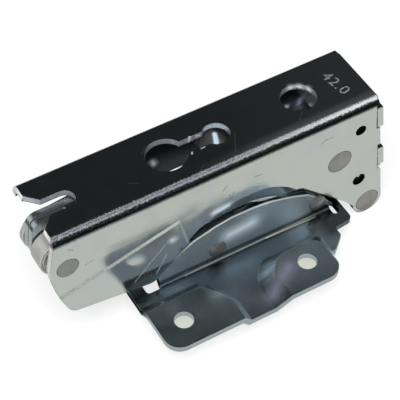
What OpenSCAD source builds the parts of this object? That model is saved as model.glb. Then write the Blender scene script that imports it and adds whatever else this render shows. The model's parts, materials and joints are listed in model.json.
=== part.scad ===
// Seven-joint concealed hinge for a refrigerator door.
// A screw flange bracket and a folded channel are joined by crossed levers that turn the
// channel about a point outside both, and a spring closer sits in the channel's rear end.
// X runs along the channel, Y goes back from the screw line and Z goes up from the mounting
// face. The origin is midway between the two screw holes. The hinge is drawn closed.

/* [Sheets] */
// Thickness of the sheet of the channel and the bracket
sheet = 2; // [1.8:0.05:2.1]
// Thickness of one lever plate
lever_t = 2; // [1.6:0.1:2.2]
// Free gap between plates that pass each other
plate_gap = 0.4; // [0.3:0.05:0.5]
// Outer radius of the channel's bends
bend_r = 2.5; // [2.2:0.1:3.5]

/* [Channel] */
// Width of the channel over its side walls
channel_w = 24.5; // [23.5:0.5:30]
// Distance of the channel's centre line behind the screw line
channel_y = 27.75; // [27.5:0.25:32]
// Height of the web's top above the mounting face
channel_h = 41.5; // [41:0.5:46]
// Reach of the web behind the origin, towards the closer
web_rear = 51; // [50:0.5:56]
// Reach of the web in front of the origin
web_front = 53.1; // [52.5:0.5:56]
// Radius of the wall round the lower door rivet
lobe_r = 5.1; // [4.8:0.1:5.4]
// Height of the walls' lower edge at the rear skirt
skirt_z = 5.5; // [5:0.5:7]
// Place of the front end of the rear skirt
skirt_end = -21.9; // [-24:0.5:-21.5]
// Height of the arch's hump over the rear bracket pivot
hump_z = 20.8; // [20.5:0.1:22]
// Height of the arch's flat part
arch_z = 17.5; // [17.2:0.1:18.5]
// How far the rear wall panels stand outward
joggle = 0.5; // [0.4:0.1:1.2]
// Width of the ramp up to a rear wall panel
joggle_band = 0.8; // [0.6:0.1:2]
// Radius of the round dish coined into the walls over the arch
dish_r = 21.9; // [20:0.1:23]
// Place of the dish's centre along the channel
dish_x = 9.6; // [8:0.2:11]
// Height of the dish's centre
dish_z = 3.5; // [2:0.1:5]
// How far the dish slopes in from its rim
dish_band = 6; // [4:0.5:8]
// Depth of the dish at the end of its slope
dish_d = 1.1; // [0.5:0.1:1.2]

/* [End plate] */
// How far the end plate stands in front of the walls' front edges
end_proud = 1.1; // [0.6:0.1:1.6]
// Height of the end plate's lower edge
end_z = 12; // [10:0.5:14]
// Height of the lower finger
low_finger_h = 7.4; // [5:0.2:9]
// Height of the upper finger
top_finger_h = 8.3; // [5:0.1:9]
// Drop of the upper finger's top below the web's top
top_finger_drop = 3.8; // [3.2:0.1:5]
// Gap beside and under the fingers in their wall notches
finger_gap = 0.35; // [0.2:0.05:0.6]
// Gap over the fingers in their wall notches
finger_top_gap = 2; // [0.4:0.1:2.6]
// Depth of the corner notch in the walls under the end plate
foot_notch = 1.4; // [0.8:0.1:2]

/* [Web openings] */
// Radius of the round fixing hole in the web
web_hole_r = 5.3; // [4.5:0.1:6]
// Radius of the pressed ring round the fixing hole
web_ring_r = 6.9; // [6.5:0.1:8]
// Depth of the pressed ring
web_ring_d = 0.6; // [0.3:0.1:1]
// Place of the fixing hole along the channel
web_hole_x = 33.2; // [30:0.2:36]
// Radius of the keyhole's entry
key_r = 6; // [5.5:0.1:6.5]
// Radius of the keyhole's narrow end
key_small_r = 4; // [3.5:0.1:4.5]
// Width of the keyhole's neck
key_neck = 5; // [4:0.2:6]
// Place of the keyhole's entry along the channel
key_x = -10.2; // [-12:0.2:-8]
// Distance between the keyhole's two ends
key_pitch = 16; // [14:0.5:18]
// Width of the rear slot
slot_w = 6; // [5:0.2:7]
// Length of the rear slot from the web's edge to its round end
slot_len = 12.3; // [11:0.1:15]
// How far the slot's mouth flares on each side
slot_flare = 3.5; // [2:0.5:4.5]

/* [Wall holes] */
// Radius of the upper gauge hole in the walls
upper_hole_r = 1.8; // [1.4:0.1:2.2]
// Radius of the lower gauge hole in the walls
lower_hole_r = 2.2; // [1.8:0.1:2.4]

/* [Pivots] */
// Place of the rear bracket pivot along the channel
rear_pivot_x = -0.6; // [-2:0.2:1]
// Place of the front bracket pivot along the channel
front_pivot_x = 34; // [33:0.2:34.2]
// Height of both bracket pivots
bracket_pivot_z = 7; // [6.8:0.1:7.4]
// Place of the cross pivot, where the main and carrier levers cross
cross_x = 19; // [17:0.5:20]
// Height of the cross pivot
cross_z = 9; // [8.6:0.1:10]
// Place of the upper door pivot
upper_x = 41; // [40:0.2:42]
// Drop of the upper door pivot below the web's top
upper_drop = 20; // [19:0.1:20.5]
// Place of the lower door pivot
lower_x = 53.1; // [52.8:0.1:54]
// Height of the lower door pivot
lower_z = -3.2; // [-3.6:0.1:-3]
// Distance of the closer pivot from the web's rear edge
closer_inset = 3.2; // [2.5:0.1:5]
// Drop of the closer pivot below the web's top
closer_drop = 12.6; // [12:0.1:13.5]

/* [Levers and pins] */
// Radius of the levers' eyes
eye_r = 4.3; // [4:0.05:4.4]
// Radius of the pins that join levers
pin_r = 2.5; // [2.2:0.1:2.8]
// Radius of the rivets' shanks in the channel
rivet_r = 3; // [2.6:0.1:3.2]
// Radius of the flush heads of the two door rivets
rivet_head_r = 4.1; // [3.8:0.1:4.4]
// Radius of the flush head of the closer rivet
closer_head_r = 3.4; // [3.3:0.1:4]
// Depth of the countersinks for the flush heads
sink = 1; // [0.6:0.1:1.2]
// Radius of the bracket rivets' shanks
stub_r = 2; // [1.8:0.1:2.2]
// Radius of the bracket rivets' heads
stub_head_r = 2.8; // [2.6:0.1:3.2]
// Height of the bracket rivets' domed heads
stub_head_h = 1.4; // [1.2:0.1:1.8]
// Height of a domed head's upright rim
stub_rim_h = 0.4; // [0.2:0.1:0.6]
// Radial running clearance of a pin in its hole
run = 0.05; // [0.03:0.01:0.08]
// Radial clearance of a rivet that sits tight in its hole
tight = 0.02; // [0.01:0.01:0.04]
// Outer radius of the spacer bushes
bush_r = 4; // [3.8:0.1:4.2]

/* [Bracket] */
// Distance between the two screw holes
screw_pitch = 41.5; // [38:0.5:42]
// Radius of the screw holes
screw_r = 2.85; // [2.2:0.05:3.2]
// Reach of the flange's rear end behind the origin
flange_rear = 29; // [28.5:0.5:32]
// Reach of the flange's raised front lobe
flange_front = 28.7; // [28:0.1:29.2]
// Reach of the flange on the near side of the screw line
flange_near = 8.3; // [7.5:0.1:10]
// Radius of the flange's near corners
flange_corner = 5; // [3:0.5:6]
// Height by which the screw lobes are raised
lobe_rise = 2.3; // [1.6:0.1:2.6]
// Reach of the bracket's front arm
arm_front = 42.5; // [42:0.1:42.6]
// Width of the front arm
arm_w = 4; // [3.5:0.1:4.2]
// Width of the rear bend relief
relief_w = 4.5; // [3:0.5:5]
// Width of the strip that carries the far wall
far_strip = 5.5; // [5:0.1:6]
// Inside radius of the bracket's near bend
fold_r = 1.5; // [1:0.1:2]
// Least gap between the bracket's walls and the channel's arch
arch_gap = 0.6; // [0.5:0.1:1.2]

/* [Closer] */
// Radius of the closing plates round the closer pivot
closer_hub_r = 6; // [5.6:0.1:6.4]
// Radius of the closing plates' upper corners
closer_corner_r = 3.4; // [3:0.1:3.8]
// Reach of the closing plates' upper rear corner behind the closer pivot
closer_tail = 5.2; // [4:0.1:6]
// Reach of the near closing plate's shoulder in front of the pivot
near_shoulder = 4.4; // [3:0.2:8]
// Reach of the far closing plate's shoulder in front of the pivot
far_shoulder = 10.7; // [8:0.1:12]
// Reach of the closing plates' arm in front of the pivot
closer_arm = 20; // [18:0.5:21]
// Drop of the closing plates' arm below the pivot
closer_arm_drop = 7; // [6:0.5:8]
// Radius of the closing plates at the end of the arm
closer_arm_r = 4.6; // [4:0.1:5]
// Radius of the closing plates' nose
nose_r = 2.4; // [2:0.1:2.8]
// Thickness of one closing lever plate
closer_t = 2; // [1.6:0.1:2.2]
// Slit between the two closing lever plates
closer_slit = 0.4; // [0.3:0.1:0.8]
// Gap under the web over the closing plates
closer_under = 0.5; // [0.4:0.1:1]
// Gap between the closing lever's nose and its roller at rest
nose_gap = 0.3; // [0.2:0.1:0.6]
// Thickness of a closer side plate
side_t = 1.2; // [0.8:0.1:1.5]
// Radius of a side plate round the closer pivot
side_eye_r = 5.2; // [4.8:0.1:5.6]
// Radius of a side plate's front corners
side_corner_r = 4; // [3:0.5:5]
// Reach of a side plate in front of the pivot
side_reach = 18; // [15:0.5:19]
// Drop of a side plate below the pivot
side_drop = 13; // [12:0.5:14]
// Rise of a side plate's upper front corner above the pivot
side_rise = 3; // [1:0.5:4]
// Thickness of the closer spring's strip
strip_t = 0.7; // [0.5:0.05:0.8]
// Gap between the turns of the spring
strip_gap = 0.2; // [0.15:0.05:0.3]
// Full turns of one spring
coils = 2; // [1:1:2]
// Radius of the pin that the springs hook round
anchor_r = 1.6; // [1.4:0.1:1.8]
// Reach of the anchor pin in front of the pivot
anchor_reach = 12; // [11:0.5:13]
// Rise of the anchor pin above the pivot
anchor_rise = 4.6; // [4:0.1:5]

/* [Hidden] */
$fn = 64;

steel = "#aeb6ba";
steel_dark = "#4d6066";
spring_steel = "#6d7376";

// Pivots in the XZ plane. The two lever pivots that aren't chosen complete parallelograms.
rear_pivot = [rear_pivot_x, bracket_pivot_z];
front_pivot = [front_pivot_x, bracket_pivot_z];
cross = [cross_x, cross_z];
upper = [upper_x, channel_h - upper_drop];
lower = [lower_x, lower_z];
steer = cross + rear_pivot - front_pivot;
link = cross + upper - lower;
closer = [closer_inset - web_rear, channel_h - closer_drop];

// Planes across the channel
near_y = channel_y - channel_w / 2;
inner_y = near_y + sheet;
outer_lever_y = inner_y + plate_gap;
inner_lever_y = outer_lever_y + lever_t + plate_gap;
mid_y = inner_lever_y + lever_t;
bush_play = 0.2;
eps = 0.02;

function unit(v) = v / norm(v);
function wrap(a) = a - 360 * floor((a + 180) / 360);

// Points round a polygon whose corners [x, y, r] are rounded with their own radius
function rounded(c, steps = 6) = [
    for (i = [0:len(c) - 1])
        let (p = [c[i][0], c[i][1]],
             q0 = c[(i + len(c) - 1) % len(c)], q1 = c[(i + 1) % len(c)],
             a = unit([q0[0], q0[1]] - p), b = unit([q1[0], q1[1]] - p),
             r = c[i][2])
            each r == 0 ? [p] :
                let (half = acos(a * b) / 2,
                     o = p + unit(a + b) * r / sin(half),
                     s = p + a * r / tan(half) - o, e = p + b * r / tan(half) - o,
                     a0 = atan2(s[1], s[0]), sweep = wrap(atan2(e[1], e[0]) - a0))
                    [for (k = [0:steps]) let (t = a0 + sweep * k / steps)
                        o + r * [cos(t), sin(t)]]
];

// Points of a belt round circles [x, y, r] given counter-clockwise
function belt_normal(p, q) = let (d = [q[0] - p[0], q[1] - p[1]])
    atan2(d[1], d[0]) - acos((p[2] - q[2]) / norm(d));
function belt(c, steps = 14) = [
    for (i = [0:len(c) - 1])
        let (a0 = belt_normal(c[(i + len(c) - 1) % len(c)], c[i]),
             a1 = belt_normal(c[i], c[(i + 1) % len(c)]),
             turn = a1 - a0 - 360 * floor((a1 - a0) / 360))
            for (k = [0:steps]) let (t = a0 + turn * k / steps)
                [c[i][0], c[i][1]] + c[i][2] * [cos(t), sin(t)]
];
function eye(p, r) = [p[0], p[1], r];

// A shape drawn in XZ, as a plate that starts at y0 and is t thick
module plate(y0, t) translate([0, y0 + t, 0]) rotate([90, 0, 0]) linear_extrude(t) children();
// A shape drawn in YZ, run along X from x0
module run_along(x0, length) translate([x0, 0, 0]) rotate([90, 0, 90])
    linear_extrude(length) children();
// A round bar across the hinge at the XZ place p
module rod(p, r, y0, y1) translate([p[0], y0, p[1]]) rotate([-90, 0, 0])
    cylinder(r = r, h = y1 - y0);
module cone(p, r0, r1, y0, y1) translate([p[0], y0, p[1]]) rotate([-90, 0, 0])
    cylinder(r1 = r0, r2 = r1, h = y1 - y0);
module far_side() translate([0, 2 * channel_y, 0]) mirror([0, 1, 0]) children();
module both_sides() { children(); far_side() children(); }

// The channel

// The walls' front edge leans from the lower rivet's lobe to the web
edge_foot = [lower_x + lobe_r, lower_z];
edge_head = [web_front, channel_h];
function edge_x(z) = edge_foot[0]
    + (edge_head[0] - edge_foot[0]) * (z - edge_foot[1]) / (edge_head[1] - edge_foot[1]);

arch_rear = [skirt_end + (hump_z - skirt_z) / 0.95, hump_z];
arch_step = [cross_x - 3, arch_z];
arch_front = [upper_x - 13.2, arch_z];
slope_foot = arch_front + [1, -0.977] * (arch_front[1] - lower_z - 4.2) / 0.977;

wall_outline = rounded([
    [-web_rear, channel_h, 0],
    [-web_rear - 2.5, closer[1] - 0.4, 14],
    [-web_rear - 0.2, 17, 12],
    [-web_rear + 2.8, skirt_z + 3.8, 4.5],
    [skirt_end, skirt_z, 3.5],
    [arch_rear[0], arch_rear[1], 6],
    [arch_step[0] - 6.5, hump_z, 8],
    [arch_step[0], arch_step[1], 8],
    [arch_front[0], arch_front[1], 4],
    [slope_foot[0], slope_foot[1], 3],
    [lower_x - lobe_r + eps, lower_z, 0],
    [edge_foot[0], edge_foot[1], 0],
    [edge_head[0], edge_head[1], 0]
]);

channel_section = rounded([
    [near_y, -30, 0], [inner_y, -30, 0],
    [inner_y, channel_h - sheet, bend_r - sheet],
    [near_y + channel_w - sheet, channel_h - sheet, bend_r - sheet],
    [near_y + channel_w - sheet, -30, 0], [near_y + channel_w, -30, 0],
    [near_y + channel_w, channel_h, bend_r], [near_y, channel_h, bend_r]
]);

// The rear wall panels lie below this line and stand outward by the joggle
joggle_line = [
    [-web_rear - 6, 16], [key_x - 2.7, closer[1] - 0.9], [skirt_end + 13, skirt_z + 6]
];
function below(p, q) = let (u = unit(q - p)) [u[1], -u[0]];
joggle_n0 = below(joggle_line[0], joggle_line[1]);
joggle_n1 = below(joggle_line[1], joggle_line[2]);
joggle_inset = [
    joggle_line[0] + joggle_n0 * joggle_band,
    joggle_line[1] + (joggle_n0 + joggle_n1) / (1 + joggle_n0 * joggle_n1) * joggle_band,
    joggle_line[2] + joggle_n1 * joggle_band
];
function joggle_zone(line) = concat(line, [
    [line[2][0], skirt_z - 6], [-web_rear - 6, skirt_z - 6]
]);

// The zone of a rear panel with its ramps, moved in by the depth d across the channel
module panel_block(d) hull() {
    plate(near_y + d, sheet) polygon(joggle_zone(joggle_line));
    plate(near_y + d - joggle, sheet) polygon(joggle_zone(joggle_inset));
}

// The end plate is folded down from the web and follows the walls' leaning edge
end_slab = rounded([
    [web_hole_x + web_ring_r + 4, channel_h, 0],
    [web_hole_x + web_ring_r + 4, channel_h - sheet, 0],
    [edge_x(channel_h - sheet) + end_proud - sheet, channel_h - sheet, bend_r - sheet],
    [edge_x(end_z) + end_proud - sheet, end_z, 0],
    [edge_x(end_z) + end_proud, end_z, 0],
    [edge_x(channel_h) + end_proud, channel_h, bend_r]
]);
fingers = [
    [end_z, end_z + low_finger_h],
    [channel_h - top_finger_drop - top_finger_h, channel_h - top_finger_drop]
];

module finger_notch(z) plate(near_y - 1, sheet + 1 + eps) polygon([
    [edge_x(z[0]) + end_proud - sheet - finger_gap, z[0] - finger_gap],
    [edge_x(z[0]) + 4, z[0] - finger_gap],
    [edge_x(z[1]) + 4, z[1] + finger_top_gap],
    [edge_x(z[1]) + end_proud - sheet - finger_gap, z[1] + finger_top_gap]
]);

// A corner notch under the lower finger, open to the front
module foot_cut() plate(near_y - 1, sheet + 1 + eps) polygon([
    [edge_x(end_z) - foot_notch, end_z - foot_notch],
    [edge_x(end_z) + foot_notch, end_z - 2.4 * foot_notch],
    [edge_x(end_z) + foot_notch, end_z]
]);

module end_plate() {
    plate(near_y + bend_r, channel_w - 2 * bend_r) polygon(end_slab);
    for (z = fingers) intersection() {
        plate(near_y, channel_w) polygon(end_slab);
        translate([web_front - 8, near_y, z[0]]) cube([20, channel_w, z[1] - z[0]]);
    }
}

slot_end = [-web_rear + slot_len - slot_w / 2, channel_y];

module web_cuts() {
    below_web = channel_h - sheet - 1;
    translate([web_hole_x, channel_y, below_web]) cylinder(r = web_hole_r, h = sheet + 2);
    translate([web_hole_x, channel_y, channel_h - web_ring_d])
        cylinder(r = web_ring_r, h = web_ring_d + 1);
    translate([key_x, channel_y, below_web]) cylinder(r = key_r, h = sheet + 2);
    translate([key_x + key_pitch, channel_y, below_web])
        cylinder(r = key_small_r, h = sheet + 2);
    translate([key_x, channel_y - key_neck / 2, below_web])
        cube([key_pitch, key_neck, sheet + 2]);
    translate([slot_end[0], slot_end[1], below_web]) cylinder(r = slot_w / 2, h = sheet + 2);
    translate([0, channel_y, below_web]) linear_extrude(sheet + 2) polygon([
        [-web_rear - 6, -slot_w / 2 - slot_flare], [-web_rear, -slot_w / 2 - slot_flare],
        [-web_rear + slot_flare, -slot_w / 2], [slot_end[0], -slot_w / 2],
        [slot_end[0], slot_w / 2], [-web_rear + slot_flare, slot_w / 2],
        [-web_rear, slot_w / 2 + slot_flare], [-web_rear - 6, slot_w / 2 + slot_flare]
    ]);
}

// A shallow round dish makes room beside the arch, so only its upper rim shows on the wall
module wall_dish()
    cone([dish_x, dish_z], dish_r, dish_r - dish_band, near_y - eps, near_y + dish_d);

module rivet_hole(p, head_r) {
    rod(p, rivet_r + tight, near_y - 1, near_y + channel_w + 1);
    both_sides() cone(p, head_r + tight, rivet_r + tight, near_y, near_y + sink);
}

module door_channel() color(steel) difference() {
    union() {
        difference() {
            intersection() {
                union() {
                    run_along(-web_rear - 8, web_rear + web_front + 20)
                        polygon(channel_section);
                    both_sides() panel_block(0);
                }
                union() {
                    plate(near_y - 2, channel_w + 4) polygon(wall_outline);
                    rod(lower, lobe_r, near_y - 1, near_y + channel_w + 1);
                }
            }
            both_sides() {
                panel_block(sheet);
                for (z = fingers) finger_notch(z);
                foot_cut();
                wall_dish();
            }
        }
        end_plate();
    }
    web_cuts();
    rivet_hole(upper, rivet_head_r);
    rivet_hole(lower, rivet_head_r);
    rivet_hole(closer, closer_head_r);
    rod(upper + [6.5, 9.9], upper_hole_r, near_y - 1, near_y + channel_w + 1);
    rod(lower + [-4.2, 12.1], lower_hole_r, near_y - 1, near_y + channel_w + 1);
}

module flush_rivet(p, head_r) color(steel) {
    rod(p, rivet_r, near_y, near_y + channel_w);
    both_sides() cone(p, head_r, rivet_r, near_y, near_y + sink);
}

module upper_door_rivet() flush_rivet(upper, rivet_head_r);
module lower_door_rivet() flush_rivet(lower, rivet_head_r);
module closer_rivet() flush_rivet(closer, closer_head_r);

// The bracket

near_wall_rear = skirt_end + 1.9;
near_wall_front = arm_front - arm_w;
lobe_top = sheet + lobe_rise;

bracket_wall = rounded([
    [near_wall_rear, 0, 0],
    [near_wall_rear, bracket_pivot_z - 0.2, 1.5],
    [near_wall_rear + 4.6, skirt_z + 5.3, 3],
    [arch_rear[0] - 3, arch_z - 2.6, 5],
    [arch_rear[0] + 4.3, arch_z - 0.4, 4],
    [rear_pivot_x + 5, arch_z + 0.6, 8],
    [arch_step[0] - 4.4, arch_z + 0.5, 8],
    [arch_step[0] + 2.4, arch_z - arch_gap, 6],
    [arch_front[0] - 2.8, arch_z - 2.7, 5],
    [arch_front[0] + 3, arch_z - 5.2, 4],
    [near_wall_front, arch_front[0] + arch_z - 1.8 - near_wall_front, 1],
    [near_wall_front, 0, 0]
]);

near_fold = rounded([
    [near_y - fold_r - 2, 0, 0], [inner_y, 0, fold_r + sheet], [inner_y, channel_h / 2 + 4, 0],
    [near_y, channel_h / 2 + 4, 0], [near_y, sheet, fold_r], [near_y - fold_r - 2, sheet, 0]
]);
far_y = near_y + channel_w;
far_fold = rounded([
    [far_y - far_strip, 0, 0], [far_y, 0, bend_r], [far_y, channel_h / 2 + 4, 0],
    [far_y - sheet, channel_h / 2 + 4, 0], [far_y - sheet, sheet, bend_r - sheet],
    [far_y - far_strip, sheet, 0]
]);

flange_outline = rounded([
    [-flange_rear, -flange_near, flange_corner],
    [flange_front, -flange_near, flange_corner],
    [flange_front, 2.6, 1.2],
    [flange_front + 2.1, 0.2, 1.6],
    [flange_front + 7.3, 4.8, 1],
    [flange_front + 7.3, 8, 0.8],
    [arm_front, 8.6, 1.5],
    [arm_front, far_y, 2],
    [-flange_rear, far_y, 2]
]);

module flange_cuts() {
    window_back = far_y - far_strip;
    // Window between the walls, where the near wall is lanced from
    translate([near_wall_rear, near_y, -1])
        cube([near_wall_front - near_wall_rear, window_back - near_y, sheet + 2]);
    // Bend reliefs at both ends of the near fold
    translate([0, 0, -1]) linear_extrude(sheet + 2) polygon(rounded([
        [near_wall_rear - relief_w, near_y - 1, 1], [near_wall_rear, near_y - 1, 1],
        [near_wall_rear, near_y + 4, 0], [near_wall_rear - relief_w, near_y + 4, 1]
    ]));
    translate([0, 0, -1]) linear_extrude(sheet + 2) polygon(rounded([
        [near_wall_front, near_y - 3.1, 0.9], [near_wall_front + 2.2, near_y - 3.1, 1],
        [near_wall_front + 2.2, near_y + 1, 1], [near_wall_front, near_y + 4, 0]
    ]));
    // Gaps in the far edge at the ends of the far wall
    for (x = [near_wall_rear - 2, near_wall_front]) translate([x, far_y - bend_r - 0.5, -1])
        cube([2, bend_r + 2, sheet + 2]);
}

// The screw lobes rise from the low middle in a narrow step and a wide ramp
rear_lobe_low = [
    [-flange_rear - 9, -flange_near - 9, 0], [-3.2, -flange_near - 9, 0], [-3.2, -0.5, 4],
    [-5.3, 4.2, 6], [-9.3, near_y - 4.6, 2], [-flange_rear - 9, near_y - 4.6, 0]
];
rear_lobe_high = [
    [-flange_rear - 9, -flange_near - 9, 0], [-5.2, -flange_near - 9, 0], [-5.2, -1, 4],
    [-7.4, 3.6, 6], [-11.2, near_y - 7.4, 2.5], [-flange_rear - 9, near_y - 8.2, 0]
];
front_lobe_low = [
    [4.8, -flange_near - 9, 0], [flange_front + 1.6, -flange_near - 9, 0],
    [flange_front + 1.6, near_y - 7.4, 2], [10.2, near_y - 6.9, 5], [4.8, 2.5, 7]
];
front_lobe_high = [
    [10.4, -flange_near - 9, 0], [flange_front + 0.2, -flange_near - 9, 0],
    [flange_front - 0.6, near_y - 9.8, 3], [14, near_y - 9, 6], [10.4, 1.6, 5]
];

module lobe(low, high, top) hull() {
    translate([0, 0, -1]) linear_extrude(top - lobe_rise + 1) polygon(rounded(low, 4));
    translate([0, 0, top - eps]) linear_extrude(eps) polygon(rounded(high, 4));
}
module lobe_block() {
    lobe(rear_lobe_low, rear_lobe_high, lobe_top);
    lobe(front_lobe_low, front_lobe_high, lobe_top);
}
// The hollow under each lobe is the same shape, one sheet lower and a little inward
module lobe_hollow() {
    translate([-0.9, -0.6, -sheet]) lobe(rear_lobe_low, rear_lobe_high, lobe_top);
    translate([0.6, -0.6, -sheet]) lobe(front_lobe_low, front_lobe_high, lobe_top);
}

module flange_bracket() color(steel_dark) difference() {
    union() {
        difference() {
            intersection() {
                linear_extrude(lobe_top) polygon(flange_outline);
                union() {
                    translate([-flange_rear - 2, -flange_near - 2, 0])
                        cube([flange_rear + arm_front + 4, far_y + flange_near + 4, sheet]);
                    lobe_block();
                }
            }
            lobe_hollow();
            flange_cuts();
        }
        intersection() {
            run_along(near_wall_rear, near_wall_front - near_wall_rear) polygon(near_fold);
            plate(near_y - 4, sheet + 5) polygon(bracket_wall);
        }
        intersection() {
            run_along(near_wall_rear, near_wall_front - near_wall_rear) polygon(far_fold);
            plate(far_y - far_strip - 1, far_strip + 2) polygon(bracket_wall);
        }
    }
    for (x = [-1, 1]) translate([x * screw_pitch / 2, 0, -1])
        cylinder(r = screw_r, h = lobe_top + 2);
    rod(rear_pivot, stub_r + tight, near_y - 2, far_y + 2);
    rod(front_pivot, stub_r + tight, near_y - 2, far_y + 2);
}

// A rivet head is a rim with a flattened dome on it
dome_h = stub_head_h - stub_rim_h;
dome_r = (stub_head_r * stub_head_r + dome_h * dome_h) / (2 * dome_h);
dome_half = asin(stub_head_r / dome_r);
module stub(p) color(steel) {
    translate([p[0], near_y, p[1]]) rotate([90, 0, 0]) rotate_extrude() polygon(concat(
        [[0, 0], [stub_head_r, 0]],
        [for (k = [0:6]) let (a = dome_half * (1 - k / 6))
            [dome_r * sin(a), stub_head_h - dome_r + dome_r * cos(a)]]
    ));
    rod(p, stub_r, near_y - eps, outer_lever_y + lever_t);
}
module rear_stub_near() stub(rear_pivot);
module rear_stub_far() far_side() stub(rear_pivot);
module front_stub_near() stub(front_pivot);
module front_stub_far() far_side() stub(front_pivot);

// The levers

module main_plate() color(steel_dark) difference() {
    plate(outer_lever_y, lever_t)
        polygon(belt([eye(front_pivot, eye_r), eye(link, eye_r), eye(cross, eye_r)]));
    rod(front_pivot, stub_r + run, inner_y, mid_y);
    rod(cross, pin_r + tight, inner_y, mid_y);
    rod(link, pin_r + tight, inner_y, mid_y);
}
module main_lever_near() main_plate();
module main_lever_far() far_side() main_plate();

// The carrier lever bends up over the bracket's front arm and down to the lower rivet
carrier_elbow = [arm_front + 2.5, lobe_top + 1.2, 3];
module carrier_plate() color(steel) difference() {
    union() {
        plate(inner_lever_y, lever_t) polygon(belt([eye(steer, eye_r), eye(cross, eye_r)]));
        plate(inner_lever_y, lever_t) polygon(belt([eye(cross, eye_r), carrier_elbow]));
        plate(inner_lever_y, lever_t) polygon(belt([carrier_elbow, eye(lower, eye_r)]));
    }
    rod(steer, pin_r + tight, inner_y, mid_y + 1);
    rod(cross, pin_r + run, inner_y, mid_y + 1);
    rod(lower, rivet_r + run, inner_y, mid_y + 1);
}
module carrier_lever_near() carrier_plate();
module carrier_lever_far() far_side() carrier_plate();

module steering_plate() color(steel_dark) difference() {
    plate(outer_lever_y, lever_t)
        polygon(belt([eye(rear_pivot, eye_r), eye(steer, eye_r)]));
    rod(rear_pivot, stub_r + run, inner_y, mid_y);
    rod(steer, pin_r + run, inner_y, mid_y);
}
module steering_link_near() steering_plate();
module steering_link_far() far_side() steering_plate();

module link_plate() color(steel) difference() {
    plate(inner_lever_y, lever_t) polygon(belt([eye(upper, eye_r), eye(link, eye_r)]));
    rod(upper, rivet_r + run, inner_y, mid_y + 1);
    rod(link, pin_r + run, inner_y, mid_y + 1);
}
module door_link_near() link_plate();
module door_link_far() far_side() link_plate();

module lever_pin(p) color(steel)
    rod(p, pin_r, outer_lever_y, 2 * channel_y - outer_lever_y);
module cross_pin() lever_pin(cross);
module link_pin() lever_pin(link);
module steering_pin() lever_pin(steer);

// A tube on a pin, between the planes y0 and y1
module bush(p, hole_r, y0, y1) color(steel) difference() {
    rod(p, bush_r, y0, y1);
    rod(p, hole_r, y0 - 1, y1 + 1);
}
module middle_bush(p, hole_r)
    bush(p, hole_r, mid_y + bush_play, 2 * channel_y - mid_y - bush_play);
module cross_bush() middle_bush(cross, pin_r + run);
module link_bush() middle_bush(link, pin_r + run);
module steering_roller() middle_bush(steer, pin_r + run);
module upper_bush() middle_bush(upper, rivet_r + run);
module lower_bush() middle_bush(lower, rivet_r + run);

module washer(p) bush(p, rivet_r + run, inner_y + bush_play, inner_lever_y - bush_play);
module upper_washer_near() washer(upper);
module upper_washer_far() far_side() washer(upper);
module lower_washer_near() washer(lower);
module lower_washer_far() far_side() washer(lower);

// The closer

closer_y = channel_y - closer_slit / 2 - closer_t;
nose = steer + [nose_r - 0.9, bush_r + nose_gap + nose_r];
arm_end = closer + [closer_arm, -closer_arm_drop];
corner_z = channel_h - sheet - closer_under - closer_corner_r;
anchor = closer + [anchor_reach, anchor_rise];
anchor_wall = 1.8;

// Two plates side by side. The near one has the shorter shoulder under the rear slot.
module closing_plate(shoulder) color(steel_dark) difference() {
    plate(closer_y, closer_t) union() {
        polygon(belt([
            eye(closer, closer_hub_r),
            [closer[0] + shoulder, corner_z, closer_corner_r],
            [closer[0] - closer_tail + closer_corner_r, corner_z, closer_corner_r]
        ]));
        polygon(belt([
            eye(closer, closer_hub_r), eye(arm_end, closer_arm_r), eye(anchor, anchor_r + anchor_wall)
        ]));
        polygon(belt([eye(arm_end, closer_arm_r), eye(nose, nose_r)]));
    }
    rod(closer, bush_r + run, closer_y - 1, closer_y + closer_t + 1);
    rod(anchor, anchor_r + tight, closer_y - 1, closer_y + closer_t + 1);
}
module closing_lever_near() closing_plate(near_shoulder);
module closing_lever_far() far_side() closing_plate(far_shoulder);

// The bush sits on the closer rivet between the side plates and carries plates and springs
side_y = inner_y + plate_gap;
bush_y = side_y + side_t + bush_play;
module closer_bush() bush(closer, rivet_r + run, bush_y, 2 * channel_y - bush_y);

module closer_side() color(steel_dark) difference() {
    plate(side_y, side_t) polygon(belt([
        eye(closer, side_eye_r),
        eye(closer + [side_corner_r, -side_drop], side_corner_r),
        eye(closer + [side_reach, -side_drop], side_corner_r),
        eye(closer + [side_reach - side_corner_r, side_rise], side_corner_r)
    ]));
    rod(closer, rivet_r + tight, inner_y, mid_y);
}
module side_plate_near() closer_side();
module side_plate_far() far_side() closer_side();

spring_y = side_y + side_t + plate_gap;
spring_w = closer_y - plate_gap - spring_y;
module spring_anchor() color(steel)
    rod(anchor, anchor_r, spring_y, 2 * channel_y - spring_y);

// Each spring is a flat strip wound round the bush. It leaves its drum at the top, runs to
// the anchor pin and hooks round it, and its pull presses the closing lever's nose down.
strip_pitch = strip_t + strip_gap;
inner_turn_r = bush_r + strip_gap + strip_t / 2;
outer_turn_r = inner_turn_r + coils * strip_pitch;
hook_r = anchor_r + strip_gap / 2 + strip_t / 2;
leave = atan2(anchor_rise, anchor_reach)
    + acos((outer_turn_r - hook_r) / norm([anchor_reach, anchor_rise]));
turn_steps = 24;
hook_sweep = 200;
hook_steps = 8;
strip_line = concat(
    [for (i = [0:coils * turn_steps])
        let (a = leave + 360 * coils - 360 * i / turn_steps,
             r = inner_turn_r + strip_pitch * i / turn_steps)
            closer + r * [cos(a), sin(a)]],
    [for (k = [0:hook_steps]) let (a = leave - hook_sweep * k / hook_steps)
        anchor + hook_r * [cos(a), sin(a)]]
);
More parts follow.
